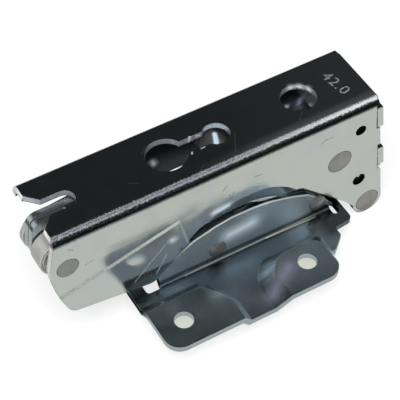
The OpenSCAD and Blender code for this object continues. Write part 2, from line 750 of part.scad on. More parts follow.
// A strip of the thickness t along a line of points
function across(line, i) =
    let (d = unit(line[min(i + 1, len(line) - 1)] - line[max(i - 1, 0)])) [-d[1], d[0]];
function strip(line, t) = concat(
    [for (i = [0:len(line) - 1]) line[i] + across(line, i) * t / 2],
    [for (i = [len(line) - 1:-1:0]) line[i] - across(line, i) * t / 2]
);
module closer_spring() color(spring_steel)
    plate(spring_y, spring_w) polygon(strip(strip_line, strip_t));
module closer_spring_near() closer_spring();
module closer_spring_far() far_side() closer_spring();

door_channel();
upper_door_rivet();
lower_door_rivet();
closer_rivet();
flange_bracket();
rear_stub_near();
rear_stub_far();
front_stub_near();
front_stub_far();
main_lever_near();
main_lever_far();
cross_pin();
cross_bush();
link_pin();
link_bush();
carrier_lever_near();
carrier_lever_far();
steering_pin();
steering_roller();
steering_link_near();
steering_link_far();
door_link_near();
door_link_far();
upper_bush();
lower_bush();
upper_washer_near();
upper_washer_far();
lower_washer_near();
lower_washer_far();
closing_lever_near();
closing_lever_far();
closer_bush();
closer_spring_near();
closer_spring_far();
side_plate_near();
side_plate_far();
spring_anchor();
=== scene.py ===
# %% [markdown]
# A concealed refrigerator door hinge, dressed for its portrait.
# The hinge is two folded steel sheets, a channel and a screw flange, with levers between
# them. Everything on it is bright zinc-plated steel, so nearly all of its look is what the
# steel reflects. The CAD solids carry the shapes. This script adds the camera, the room
# that the plating mirrors, the plating itself and the small worked details.

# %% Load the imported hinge
import bmesh
import bpy
import json
import math
from mathutils import Matrix, Vector


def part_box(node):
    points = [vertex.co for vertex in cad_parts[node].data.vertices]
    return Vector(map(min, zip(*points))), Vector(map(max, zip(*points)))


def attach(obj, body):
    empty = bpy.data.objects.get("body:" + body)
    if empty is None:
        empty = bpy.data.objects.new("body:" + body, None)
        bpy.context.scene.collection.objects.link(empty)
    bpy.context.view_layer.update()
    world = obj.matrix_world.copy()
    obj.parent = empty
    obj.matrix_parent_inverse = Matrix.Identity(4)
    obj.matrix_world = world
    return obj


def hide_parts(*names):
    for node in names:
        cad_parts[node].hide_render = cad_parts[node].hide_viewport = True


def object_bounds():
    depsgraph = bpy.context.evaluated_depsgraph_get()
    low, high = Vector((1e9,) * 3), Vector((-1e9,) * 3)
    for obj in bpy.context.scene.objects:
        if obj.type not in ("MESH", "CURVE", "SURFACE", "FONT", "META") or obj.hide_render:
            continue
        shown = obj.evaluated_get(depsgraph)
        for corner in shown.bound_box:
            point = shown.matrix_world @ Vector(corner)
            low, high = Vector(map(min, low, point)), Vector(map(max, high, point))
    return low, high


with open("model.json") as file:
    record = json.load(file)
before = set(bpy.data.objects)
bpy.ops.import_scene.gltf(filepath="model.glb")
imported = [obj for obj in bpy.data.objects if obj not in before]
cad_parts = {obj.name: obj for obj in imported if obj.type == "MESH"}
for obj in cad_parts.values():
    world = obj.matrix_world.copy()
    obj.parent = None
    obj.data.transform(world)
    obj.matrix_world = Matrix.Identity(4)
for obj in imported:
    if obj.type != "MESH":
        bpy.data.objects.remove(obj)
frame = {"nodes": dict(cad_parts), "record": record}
cad_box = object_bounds()
MM = 0.001
print("hinge box, mm:", [[round(v / MM, 1) for v in corner] for corner in cad_box])


# %% [markdown]
# The photograph looks down on the hinge from the front left, from about 44 cm away with a
# long lens, so the channel's edges nearly stay parallel. A camera can be nudged by eye until
# it fits, but the round rivet heads and the straight folds say where it stood, so it is set
# down there and aimed at a point in the hinge. Turning it by its line of sight keeps it free
# of roll, and the lamp is set down by the same helper.

# %% Camera
def aimed(thing, place, target):
    """Puts a camera or a lamp in the scene, looking from its place to the target."""
    bpy.context.collection.objects.link(thing)
    thing.location = place
    thing.rotation_mode = "QUATERNION"
    thing.rotation_quaternion = (target - place).to_track_quat("-Z", "Y")


CAMERA_AT = Vector((-140.96, -214.95, 351.55)) * MM
CAMERA_AIM = Vector((-0.16, 26.32, 17.59)) * MM
camera_data = bpy.data.cameras.new("portrait_camera")
camera_data.sensor_width = 36
camera_data.lens = 135
camera_data.clip_start = 0.01
camera_data.clip_end = 20
camera = bpy.data.objects.new("portrait_camera", camera_data)
aimed(camera, CAMERA_AT, CAMERA_AIM)
bpy.context.scene.camera = camera
bpy.context.scene.view_settings.view_transform = "Standard"
print("camera distance, mm:", round((CAMERA_AIM - CAMERA_AT).length / MM))


# %% [markdown]
# Materials are node trees, and the same few steps come back in each of them. They could be
# dragged together in the editor, but then nobody could read them in a row. Small helpers
# make a node, set its inputs and link it in one line.

# %% Node helpers
def new_tree(material_name):
    """A new material, and its empty node tree."""
    material = bpy.data.materials.new(material_name)
    material.use_nodes = True
    material.node_tree.nodes.clear()
    return material, material.node_tree


def add(tree, kind, settings=None, **inputs):
    """Makes a node. An input is a value or another node's output socket."""
    node = tree.nodes.new("ShaderNode" + kind)
    for key, value in (settings or {}).items():
        setattr(node, key, value)
    for key, value in inputs.items():
        key = key.replace("_", " ")
        socket = node.inputs[int(key[2:])] if key.startswith("in") else node.inputs[key]
        if isinstance(value, bpy.types.NodeSocket):
            tree.links.new(value, socket)
        else:
            socket.default_value = value
    return node


# %% [markdown]
# Most of a worn surface is masks: shares from 0 to 1 that say how far something holds at a
# place. A mask could be painted by hand as an image, but one worked out from lengths stays
# sharp at any distance. These helpers do sums on masks, turn a length into a mask, and lay
# one colour over another.

# %% Mask helpers
def math_node(tree, operation, a, b=0.0, clamp=False):
    return add(tree, "Math", {"operation": operation, "use_clamp": clamp}, in0=a, in1=b).outputs[0]


def plus(tree, a, b):
    return math_node(tree, "ADD", a, b)


def times(tree, a, b):
    return math_node(tree, "MULTIPLY", a, b)


def either(tree, *masks):
    """The strongest of several masks."""
    strongest = masks[0]
    for mask in masks[1:]:
        strongest = math_node(tree, "MAXIMUM", strongest, mask)
    return strongest


def both(tree, *masks):
    """Where every one of several masks holds."""
    product = masks[0]
    for mask in masks[1:]:
        product = times(tree, product, mask)
    return product


def ramp(tree, value, low, high, to_low=0.0, to_high=1.0):
    """Runs from to_low to to_high while the value runs from low to high, and then stays."""
    return add(tree, "MapRange", Value=value, From_Min=low, From_Max=high,
               To_Min=to_low, To_Max=to_high).outputs[0]


def ramp_mm(tree, value, low, high, to_low=0.0, to_high=1.0):
    """The same for a length, whose low and high are in millimetres."""
    return ramp(tree, value, low * MM, high * MM, to_low, to_high)


def over(tree, mask, under_colour, colour):
    """Lays a colour over another where the mask holds."""
    return add(tree, "Mix", {"data_type": "RGBA"}, in0=mask, in6=under_colour,
               in7=colour).outputs[2]


# %% [markdown]
# Bright zinc shows the room. In the photograph the upright walls mirror the white paper
# they stand on, so they look pale grey, while the level web mirrors the dark room above and
# behind, so it looks almost black. Along the bend between them the steel mirrors the room in
# front: dark near the table, then one broad soft light on the right. Large lamps could stand
# for that light, but they would show hard corners in the bend. A world whose colour depends
# on the direction has soft borders, and its light falls evenly.

# %% Room
CLOTH_RIGHT, CLOTH_LEFT_SHARE = (0.33, 0.43), 0.24
CLOTH_FOOT, CLOTH_TOP, CLOTH_FRONT = (0.22, 0.46), (0.90, 0.74), (0.05, -0.45)
WINDOW_LEFT, WINDOW_TOP, WINDOW_SHARE = (-0.22, -0.50), (0.72, 0.45), 0.75
DARK_ROOM, WHITE_CLOTH = (0.013, 0.016, 0.018, 1), (0.92, 0.95, 1.0, 1)
room = bpy.data.worlds.new("studio_room")
bpy.context.scene.world = room
room.use_nodes = True
sky = room.node_tree
sky.nodes.clear()
toward = add(sky, "SeparateXYZ", Vector=add(sky, "TexCoord").outputs["Generated"])
to_x, to_y, to_z = (toward.outputs[axis] for axis in "XYZ")
cloth = both(sky, ramp(sky, to_z, *CLOTH_FOOT), ramp(sky, to_z, *CLOTH_TOP),
             ramp(sky, to_y, *CLOTH_FRONT), ramp(sky, to_x, *CLOTH_RIGHT, CLOTH_LEFT_SHARE, 1.0))
window = both(sky, ramp(sky, to_x, *WINDOW_LEFT, 0.0, WINDOW_SHARE),
              ramp(sky, to_z, *WINDOW_TOP))
mirrored = over(sky, either(sky, cloth, window), DARK_ROOM, WHITE_CLOTH)
room_light = add(sky, "Background", Color=mirrored, Strength=1.0)
room_white = add(sky, "Background", Color=(1, 1, 1, 1), Strength=1.0)
seen = add(sky, "LightPath").outputs["Is Camera Ray"]
room_mix = add(sky, "MixShader", Fac=seen, in1=room_light.outputs[0], in2=room_white.outputs[0])
add(sky, "OutputWorld", Surface=room_mix.outputs[0])
print("room nodes:", len(sky.nodes))

# %% [markdown]
# The photograph's hinge stands on white paper. A studio sweep would do as well, but only the
# level part is ever seen or mirrored, so a plain plane just under the hinge's lowest point is
# enough. It is stage, not a piece of the hinge.

# %% Paper
PAPER_Z = cad_box[0].z - 0.2 * MM
PAPER_REACH = 3.0
bpy.ops.mesh.primitive_plane_add(size=2 * PAPER_REACH, location=(0, 0, PAPER_Z))
paper = bpy.context.object
paper.name = "paper"
print("paper at z, mm:", round(PAPER_Z / MM, 2))

# %% [markdown]
# What the steel mirrors of the paper is set by place: it is pale beside the hinge, dark in
# the shade under it, and dark again past a few centimetres, where the dark table takes over.
# Real shade and a real table could do it, but they would need a lamp and props for every
# tone. Two boxes with soft borders, measured on the paper, give the same tones at once.

# %% The paper as the steel mirrors it
PALE_AT, PALE_HALF, PALE_FADE = (12 * MM, 134 * MM), (95 * MM, 166 * MM), (34, 4)
SHADE_AT = (0.5 * (cad_box[1].x + cad_box[0].x), 27.75 * MM)
SHADE_HALF = (0.5 * (cad_box[1].x - cad_box[0].x), 12.5 * MM)
SHADE_FADE = ((-1, 3), (-1, 2))
paper_finish, paper_tree = new_tree("white_paper")
position = add(paper_tree, "NewGeometry").outputs["Position"]
spot = add(paper_tree, "SeparateXYZ", Vector=position)


def past(axis, middle, half):
    """How far a place on the paper lies past the half width from the middle."""
    offset = math_node(paper_tree, "SUBTRACT", spot.outputs["XY"[axis]], middle[axis])
    return math_node(paper_tree, "SUBTRACT", math_node(paper_tree, "ABSOLUTE", offset), half[axis])


squares = [math_node(paper_tree, "POWER",
                     math_node(paper_tree, "MAXIMUM", past(axis, PALE_AT, PALE_HALF), 0.0), 2.0)
           for axis in (0, 1)]
outside = math_node(paper_tree, "SQRT", plus(paper_tree, *squares))
in_open = either(paper_tree, *[ramp_mm(paper_tree, past(axis, SHADE_AT, SHADE_HALF),
                                       *SHADE_FADE[axis]) for axis in (0, 1)])
near_paper = times(paper_tree, ramp_mm(paper_tree, outside, *PALE_FADE), in_open)
print("pale paper, mm:", [round(2 * half / MM) for half in PALE_HALF])

# %% [markdown]
# Through the two screw holes the paper looks a little greenish, because it lies in their
# shade. Light bounced between flange and paper would find that by itself, but faintly and
# with noise, so a tinted disc on the paper stands for it under each hole. The camera sees
# the rest white, and mirror rays see the pale and dark places.

# %% Paper finish
SCREW_SHADES, SHADE_RIM = ((-16.5, 9.3), (26.6, 9.3)), (4.8, 4.4)
CAMERA_WHITE_SHARE = 0.72
reaches = [add(paper_tree, "VectorMath", {"operation": "DISTANCE"}, in0=position,
               in1=(shade_x * MM, shade_y * MM, PAPER_Z)).outputs["Value"]
           for shade_x, shade_y in SCREW_SHADES]
through_screw = ramp_mm(paper_tree, math_node(paper_tree, "MINIMUM", *reaches), *SHADE_RIM)
paper_white = over(paper_tree, through_screw, (1, 1, 1, 1), (0.72, 0.77, 0.66, 1))
matte = add(paper_tree, "BsdfDiffuse", Color=(0.90, 0.90, 0.89, 1))
white = add(paper_tree, "Emission", Color=paper_white, Strength=1.0)
pale = add(paper_tree, "Emission", Color=(0.62, 0.635, 0.60, 1), Strength=near_paper)
path = add(paper_tree, "LightPath")
for_camera = add(paper_tree, "MixShader", Fac=CAMERA_WHITE_SHARE, in1=matte.outputs[0],
                 in2=white.outputs[0])
for_steel = add(paper_tree, "MixShader", Fac=path.outputs["Is Glossy Ray"],
                in1=matte.outputs[0], in2=pale.outputs[0])
shown = add(paper_tree, "MixShader", Fac=path.outputs["Is Camera Ray"],
            in1=for_steel.outputs[0], in2=for_camera.outputs[0])
add(paper_tree, "OutputMaterial", Surface=shown.outputs[0])
paper.data.materials.append(paper_finish)
print("screw shades on the paper:", len(reaches))

# %% [markdown]
# One broad lamp over the front left gives the paper its light and the hinge its soft shadow.
# A small lamp or a sun would draw a hard one. It is hidden from mirror rays, because the room
# above already holds what the steel shows.

# %% Lamp
LAMP_AT, LAMP_AIM = Vector((-0.25, -0.35, 0.85)), Vector((0, 0.02, 0))
lamp_data = bpy.data.lights.new("overhead_lamp", "AREA")
lamp_data.shape = "DISK"
lamp_data.size = 0.6
lamp_data.energy = 14.0
overhead = bpy.data.objects.new("overhead_lamp", lamp_data)
aimed(overhead, LAMP_AT, LAMP_AIM)
overhead.visible_glossy = False
print("lamp over the paper, m:", round(overhead.location.z - PAPER_Z, 2))


# %% [markdown]
# Zinc plating is a thin bright coat over rolled sheet. Close up it has a fine grain that
# blurs what it mirrors, a faint blue and straw tint that drifts over the sheet, and pale
# bare steel where the sheet was sheared. The grain and drift are noise on object
# coordinates, which need no unwrapping and stay with a lever as it turns. The sheared edges
# come from the Bevel node, which turns the normal near an edge: where the turned normal
# leaves the true one, there is an edge. A worn place, and each painted highlight, painted
# reflection or painted shade, is changed by a function of its own, before the shader is
# joined up.

# %% Plating
FINE_GRAIN, GRAIN_DEPTH = 1600.0, 0.00003
EDGE_TURN = (0.995, 0.90)


def plating(name, tint, cool, straw, rough, grain=0.35, edge_tint=(0.80, 0.81, 0.80, 1),
            edge_mm=0.35, drift=70.0, wear_and_light=None):
    """A zinc finish. The wear_and_light function paints wear, painted highlights, painted
    reflections and painted shade, and changes colour, roughness, height, facing or haze.
    """
    material, tree = new_tree(name)
    place = add(tree, "TexCoord").outputs["Object"]
    broad = add(tree, "TexNoise", Vector=place, Scale=drift, Detail=3.0).outputs["Fac"]
    patchy = add(tree, "TexNoise", Vector=place, Scale=drift * 3.1, Detail=4.0,
                 Roughness=0.6).outputs["Fac"]
    fine = add(tree, "TexNoise", Vector=place, Scale=FINE_GRAIN, Detail=2.0).outputs["Fac"]
    rounded = add(tree, "Bevel", {"samples": 6}, Radius=edge_mm * MM).outputs[0]
    along = add(tree, "VectorMath", {"operation": "DOT_PRODUCT"}, in0=rounded,
                in1=add(tree, "NewGeometry").outputs["Normal"]).outputs["Value"]
    edge = ramp(tree, along, *EDGE_TURN)
    colour = over(tree, ramp(tree, broad, 0.42, 0.62), tint, cool)
    colour = over(tree, ramp(tree, patchy, 0.56, 0.74, 0.0, 0.55), colour, straw)
    colour = over(tree, times(tree, edge, 0.75), colour, edge_tint)
    roughness = plus(tree, rough, ramp(tree, patchy, 0.3, 0.7, -0.05, 0.07))
    roughness = plus(tree, roughness, times(tree, edge, 0.14))
    look = {"colour": colour, "roughness": roughness, "height": fine, "facing": rounded,
            "haze": 0.0}
    if wear_and_light:
        wear_and_light(tree, place, look)
    if isinstance(look["haze"], float):
        metallic = 1.0 - look["haze"]
    else:
        metallic = math_node(tree, "SUBTRACT", 1.0, look["haze"], clamp=True)
    bump = add(tree, "Bump", Strength=grain, Distance=GRAIN_DEPTH, Height=look["height"],
               Normal=look["facing"])
    surface = add(tree, "BsdfPrincipled", Base_Color=look["colour"], Metallic=metallic,
                  Roughness=look["roughness"], Normal=bump.outputs[0])
    add(tree, "OutputMaterial", Surface=surface.outputs[0])
    print(name, "nodes:", len(tree.nodes))
    return material


# %% [markdown]
# Haze is the share of the plating that is too rough to mirror and scatters light instead, as
# fresh shears, rubbed grains and grease do. A second shader could be mixed in for it, but
# taking that share off Metallic does the same and still bakes as one surface. Each worn
# place, and each painted highlight, painted reflection or painted shade, adds its own share
# and its own colour, so one helper does both.

# %% Haze
def haze_over(tree, look, mask, colour, haze):
    """Lays a colour over the look, and makes that share of it scatter light."""
    look["colour"] = over(tree, mask, look["colour"], colour)
    look["haze"] = plus(tree, look["haze"], times(tree, mask, haze))


# %% [markdown]
# A hinge that has been handled has thin scratches. Soft gleams are painted highlights and
# painted reflections, and some thin line marks are painted highlights and reflections too.
# Each is the set of points close to a short line on the surface, so it is drawn by measuring
# the distance to that line. A painted image would need unwrapped faces, and its pixels would
# show close up. A scratch has a firm core, and a gleam fades all the way from its line.

# %% Scratches and gleams
def near_line(tree, place, start, end, half_width, core=0.4):
    """1 in the line's core from start to end, in millimetres, and 0 past its half width."""
    a = Vector(start) * MM
    span = Vector(end) * MM - a
    offset = add(tree, "VectorMath", {"operation": "SUBTRACT"}, in0=place, in1=a).outputs[0]
    run = add(tree, "VectorMath", {"operation": "DOT_PRODUCT"}, in0=offset,
              in1=span / span.length_squared).outputs["Value"]
    run = math_node(tree, "MINIMUM", math_node(tree, "MAXIMUM", run, 0.0), 1.0)
    foot = add(tree, "VectorMath", {"operation": "SCALE"}, in0=span, Scale=run).outputs[0]
    gap = add(tree, "VectorMath", {"operation": "DISTANCE"}, in0=offset, in1=foot)
    return ramp_mm(tree, gap.outputs["Value"], half_width, half_width * core)


def scratches_and_glints(tree, place, look, lines, colour, haze, strength=1.0):
    """Thin marks along several lines, each with its start, end and half width: scratches, and also
    painted highlights and painted reflections.
    """
    mask = either(tree, *[near_line(tree, place, *line) for line in lines])
    haze_over(tree, look, times(tree, mask, strength), colour, haze)


def gleam(tree, place, look, start, end, half_width, colour, haze):
    """A soft-edged patch of painted light along a line, brightest on the line. With a darker
    colour it paints a dark reflection instead.
    """
    mask = near_line(tree, place, start, end, half_width, 0.0)
    haze_over(tree, look, times(tree, mask, mask), colour, haze)


# %% [markdown]
# The channel is one folded sheet: a level web on top and an upright wall on each side, whose
# rear panels are pressed outward by a small step. Its places are given in millimetres from
# the solid's own box, so they follow it if it is built anew with other sizes.

# %% Measures of the channel
SHEET, BEND_R, STEP_OUT = 2.0, 2.5, 0.5
channel_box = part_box("door_channel")
NEAR_Y, FAR_Y = channel_box[0].y / MM, channel_box[1].y / MM
WEB_Z = channel_box[1].z / MM
MIDDLE_Y, HALF_WIDTH = 0.5 * (NEAR_Y + FAR_Y), 0.5 * (FAR_Y - NEAR_Y)
PANEL_Y = round(NEAR_Y, 3)
WALL_Y = PANEL_Y + STEP_OUT
GRAIN_RANGE = (0.35, 0.65)
print("channel at y, mm:", round(NEAR_Y, 2), round(FAR_Y, 2), "web at z:", round(WEB_Z, 2),
      "near wall at y:", WALL_Y)


# %% [markdown]
# The masks on the channel start from a few facts about the point being coloured: where it is,
# which way its face looks, and how grainy the steel is there. They could be worked out anew
# in each mask, but made once they are shared, and the tree stays small.

# %% Facts about a point
def own_normal(tree):
    """The true normal turned into the object's own frame, one absolute value for each axis."""
    turned = add(tree, "VectorTransform", {"vector_type": "NORMAL", "convert_from": "WORLD",
                                           "convert_to": "OBJECT"},
                 Vector=add(tree, "NewGeometry").outputs["True Normal"])
    parts = add(tree, "SeparateXYZ", Vector=turned.outputs[0])
    return [math_node(tree, "ABSOLUTE", parts.outputs[axis]) for axis in "XYZ"]


def facts_of(tree, place):
    """The three places and the three turns of a point, by name."""
    where = add(tree, "SeparateXYZ", Vector=place)
    facts = {axis: where.outputs[axis.upper()] for axis in "xyz"}
    facts.update(zip(("turn_x", "turn_y", "turn_z"), own_normal(tree)))
    return facts


def channel_facts(tree, place):
    """The same with the distance to the channel's middle, the grains and the walls' share."""
    at = facts_of(tree, place)
    offset = math_node(tree, "SUBTRACT", at["y"], MIDDLE_Y * MM)
    at["to_middle"] = math_node(tree, "ABSOLUTE", offset)
    at["grains"] = add(tree, "TexNoise", Vector=place, Scale=2100.0, Detail=4.0,
                       Roughness=0.75).outputs["Fac"]
    at["on_wall"] = both(tree, ramp_mm(tree, at["to_middle"], HALF_WIDTH - 1.6, HALF_WIDTH - 1.2),
                         ramp_mm(tree, at["z"], WEB_Z - 1.9, WEB_Z - 2.4))
    return at


# %% [markdown]
# The faces inside the channel get painted shade: a dull dark colour, and a painted share of
# scattered light on their lower front part, where light comes in through the holes. A separate
# dark material would need its own faces. A mask by the distance from the channel's middle finds
# the inner side of both walls and of the web.

# %% Painted shade inside
def painted_shade_inside(tree, look, at):
    # Painted shade: the inner faces are painted dark, and the lit share makes their lower front
    # part scatter more light.
    shaded_inside = both(tree, ramp_mm(tree, at["to_middle"], HALF_WIDTH - 1.6, HALF_WIDTH - 1.9),
                  ramp_mm(tree, at["z"], WEB_Z - 1.6, WEB_Z - 1.9))
    lit = both(tree, ramp_mm(tree, at["z"], 31, 27, 0.10, 0.75),
               ramp_mm(tree, at["x"], 10, 25, 0.45, 1.0))
    haze_over(tree, look, shaded_inside, (0.060, 0.080, 0.095, 1), lit)


# %% [markdown]
# Where a punch or a shear has gone through the sheet, the cut face is torn: pale, granular
# and without a mirror. The holes' walls in the web and the two end faces get that look, told
# apart by where they are and which way they face. A second material would need its own faces.
# The two small gauge holes in the near wall are too narrow for any light, so their bores are
# painted near black as painted shade.

# %% Sheared faces
REAR_FACE, FRONT_FACE = (-44, -46), (54, 56)
SIDEWAYS = (0.72, 0.86)
GAUGE_HOLES = [((47.5, 15.0, 31.4), (47.5, 17.6, 31.4), 4.8),
               ((48.9, 15.0, 8.9), (48.9, 17.6, 8.9), 5.8)]


def sheared_faces(tree, place, look, at):
    in_sheet = both(tree, ramp_mm(tree, at["z"], WEB_Z - SHEET - 0.15, WEB_Z - SHEET - 0.02),
                    ramp_mm(tree, at["to_middle"], HALF_WIDTH - 2.6, HALF_WIDTH - 2.9))
    hole_wall = both(tree, in_sheet, ramp(tree, at["turn_z"], 0.6, 0.4))
    torn = both(tree, hole_wall, ramp(tree, at["grains"], *GRAIN_RANGE, 0.35, 0.95))
    haze_over(tree, look, torn, (0.36, 0.36, 0.46, 1), 0.60)
    faces = [both(tree, ramp(tree, at["turn_x"], *SIDEWAYS), ramp_mm(tree, at["x"], *face))
             for face in (REAR_FACE, FRONT_FACE)]
    ends = both(tree, either(tree, *faces), ramp(tree, at["grains"], *GRAIN_RANGE, 0.5, 1.0))
    haze_over(tree, look, ends, (0.60, 0.60, 0.57, 1), 0.75)
    # Painted shade: the gauge holes' bores are painted near black.
    shaded_bores = either(tree, *[near_line(tree, place, *hole) for hole in GAUGE_HOLES])
    shaded_bores = both(tree, shaded_bores, ramp(tree, at["turn_y"], 0.6, 0.4))
    haze_over(tree, look, shaded_bores, (0.012, 0.011, 0.009, 1), 0.0)


# %% [markdown]
# A few scuffs run across the near wall and the web. They are the same kind of line mark with
# two tones: grey on the pale wall, and pale on the dark web.

# %% Scuffs
wall_scratches = [
    ((1.0, WALL_Y, 32.0), (2.2, WALL_Y, 33.4), 0.30),
    ((3.7, WALL_Y, 26.9), (4.6, WALL_Y, 29.4), 0.26),
    ((2.9, WALL_Y, 29.0), (3.6, WALL_Y, 27.6), 0.22),
    ((11.4, WALL_Y, 31.9), (13.8, WALL_Y, 31.8), 0.30),
    ((33.9, WALL_Y, 33.2), (35.4, WALL_Y, 34.4), 0.30),
    ((35.4, WALL_Y, 33.9), (37.6, WALL_Y, 34.1), 0.26),
    ((-47.2, WALL_Y, 36.3), (-45.8, WALL_Y, 35.4), 0.30),
    ((-42.6, WALL_Y, 26.6), (-40.4, WALL_Y, 27.4), 0.24),
]
web_scratches = [
    ((7.0, 19.0, WEB_Z), (10.6, 25.5, WEB_Z), 0.10),
    ((-3.0, 19.5, WEB_Z), (-5.0, 17.8, WEB_Z), 0.10),
    ((-16.0, 31.5, WEB_Z), (-13.5, 33.6, WEB_Z), 0.10),
    ((28.6, 20.0, WEB_Z), (31.6, 23.0, WEB_Z), 0.09),
    ((-24.0, 24.0, WEB_Z), (-21.5, 22.5, WEB_Z), 0.09),
]
print("scuffs on the wall and the web:", len(wall_scratches), len(web_scratches))


# %% [markdown]
# The web mirrors sharply, and hazes over a little towards the front and beside the bend. The
# keyhole's neck and the round hole get painted highlights on their rims, and the dark wall
# inside gets painted light and a painted lavender reflection for what comes in through them.
# On the real hinge those lights are mirrored from the room and the paper. A mirror that small
# would be noisy, so they are painted as soft gleams and thin lines.

# %% Web and holes
NECK_RIMS = [
    ((-3.4, 25.1, WEB_Z), (-3.8, 24.5, WEB_Z), 0.30),
    ((-0.6, 24.95, WEB_Z), (0.6, 25.0, WEB_Z), 0.22),
    ((-1.2, 30.3, WEB_Z), (-1.6, 30.3, WEB_Z - 2), 0.50),
    ((0.8, 30.3, WEB_Z - 0.6), (2.0, 30.3, WEB_Z - 1.0), 0.35),
]
HOLE_RIM = [((33.6, 33.0, 40.6), (34.3, 32.9, 40.5), 1.6),
            ((35.9, 32.3, 40.6), (36.6, 31.8, 40.5), 1.6),
            ((38.0, 30.1, 40.6), (38.2, 29.4, 40.5), 1.6)]
LIT_INSIDE = [((36.2, 38.0, 27.1), (36.8, 38.0, 26.6), 1.5),
              ((44.9, 38.0, 23.1), (45.3, 38.0, 22.6), 1.3),
              ((-9.3, 38.0, 28.2), (-8.7, 38.0, 26.8), 2.2)]


def web_film(tree, look, at):
    on_web = both(tree, ramp_mm(tree, at["z"], WEB_Z - 0.12, WEB_Z - 0.06),
                  ramp(tree, at["turn_z"], 0.7, 0.9))
    to_front = ramp_mm(tree, at["x"], 5, 56, 0.002, 0.012)
    beside = both(tree, ramp_mm(tree, at["y"], NEAR_Y + BEND_R + 3.0, NEAR_Y + BEND_R, 0.0, 0.050),
                  ramp_mm(tree, at["x"], -8, 24))
    film = both(tree, on_web, plus(tree, to_front, beside),
                ramp(tree, at["grains"], *GRAIN_RANGE, 0.6, 1.4))
    look["haze"] = plus(tree, look["haze"], film)


def hole_lights(tree, place, look):
    # Painted highlights on the rims of the keyhole's neck and the round hole, and painted light
    # and a painted lavender reflection on the dark wall inside.
    scratches_and_glints(tree, place, look, NECK_RIMS, (0.62, 0.68, 0.68, 1), 0.6, 0.8)
    for line in HOLE_RIM:
        gleam(tree, place, look, *line, (0.92, 0.94, 1.0, 1), 0.6)
    for line in LIT_INSIDE:
        gleam(tree, place, look, *line, (0.92, 0.95, 0.98, 1), 0.5)
    gleam(tree, place, look, (41.3, 38.0, 27.4), (40.9, 38.0, 25.2), 2.4,
          (0.55, 0.58, 0.85, 1), 0.4)


# %% [markdown]
# Where the wall is rolled over into the web, the bend mirrors the room in front, and that is
# painted: a dark granular band over the wall is a painted dark reflection, then a narrow band
# of bright ragged grains below the web is a painted reflection of the light, which gets
# stronger towards the front, and loose lavender specks are painted glints. Stripes could be
# cut into the mesh, but their borders would be straight. Here they are masks on the angle
# round the bend, 0 at the wall and 1 at the web, and noise added to that angle makes their
# borders ragged.

# %% The near bend
RAGGED = (-0.11, 0.11)
DARK_BAND_TOP, DARK_BAND_FOOT = (0.74, 0.60), (-0.20, 0.16)
BRIGHT_FOOT, BRIGHT_TOP = (0.64, 0.84), (1.06, 0.88)


def bend_angle(tree, at):
    """The angle round the near bend, as a share of the quarter turn, and the bend's mask."""
    rise = math_node(tree, "SUBTRACT", at["z"], (WEB_Z - BEND_R) * MM)
    depth = math_node(tree, "SUBTRACT", (NEAR_Y + BEND_R) * MM, at["y"])
    turn = math_node(tree, "DIVIDE", math_node(tree, "ARCTAN2", rise, depth), 0.5 * math.pi)
    near_bend = both(tree, ramp_mm(tree, depth, -0.5, -0.3), ramp_mm(tree, rise, -1.2, -0.6),
                     ramp_mm(tree, at["y"], 19, 18))
    return turn, near_bend


def painted_bend_reflection(tree, place, look, at):
    turn, near_bend = bend_angle(tree, at)
    grainy = ramp(tree, at["grains"], *GRAIN_RANGE)
    ragged = plus(tree, turn, ramp(tree, at["grains"], 0.3, 0.7, *RAGGED))
    # Painted dark reflection: a dark granular band over the wall.
    dark_band = both(tree, near_bend, ramp(tree, ragged, *DARK_BAND_TOP), ramp(tree, ragged, *DARK_BAND_FOOT))
    dark_band_grains = over(tree, grainy, (0.030, 0.034, 0.034, 1), (0.120, 0.124, 0.122, 1))
    look["colour"] = over(tree, dark_band, look["colour"], dark_band_grains)
    look["roughness"] = plus(tree, look["roughness"], times(tree, dark_band, 0.20))
    # Painted reflection of the light: a bright ragged band below the web, with lavender specks as
    # painted glints.
    bright = both(tree, near_bend, ramp(tree, ragged, *BRIGHT_FOOT),
                  ramp(tree, ragged, *BRIGHT_TOP))
    rear_shine = over(tree, grainy, (0.030, 0.030, 0.042, 1), (0.125, 0.125, 0.170, 1))
    shine = over(tree, ramp_mm(tree, at["x"], 4, 44), rear_shine, (0.56, 0.57, 0.56, 1))
    flecks = add(tree, "TexVoronoi", Vector=place, Scale=1500.0).outputs["Distance"]
    glint_specks = both(tree, ramp(tree, flecks, 0.34, 0.16), ramp_mm(tree, at["x"], 40, 5, 0.0, 0.6))
    haze_over(tree, look, bright, over(tree, glint_specks, shine, (0.30, 0.30, 0.42, 1)), 0.88)
    # Painted glints: loose lavender specks lower on the bend.
    loose_glints = both(tree, near_bend, glint_specks, ramp(tree, ragged, 0.26, 0.50))
    haze_over(tree, look, times(tree, loose_glints, 0.6), (0.30, 0.30, 0.44, 1), 0.7)
    look["height"] = plus(tree, look["height"], times(tree, near_bend, at["grains"]))


# %% [markdown]
# The pressed step round the rear panel is painted pale and granular, as a painted highlight
# along the step. The wall beside the arch gets a broad soft painted dark reflection where it
# turns in, a painted highlight, a pale spot that is a painted reflection, and the thin light
# lines of the flange's edges. Those lines are mirror images, and the flat paper alone doesn't
# give them, so they are painted as reflections where they are seen.

# %% The step and the arch
FLANGE_LINES = [((-28.1, PANEL_Y, 9.8), (-18.1, PANEL_Y, 20.4), 0.36),
                ((-21.0, PANEL_Y, 9.3), (-17.6, PANEL_Y, 15.9), 0.36)]


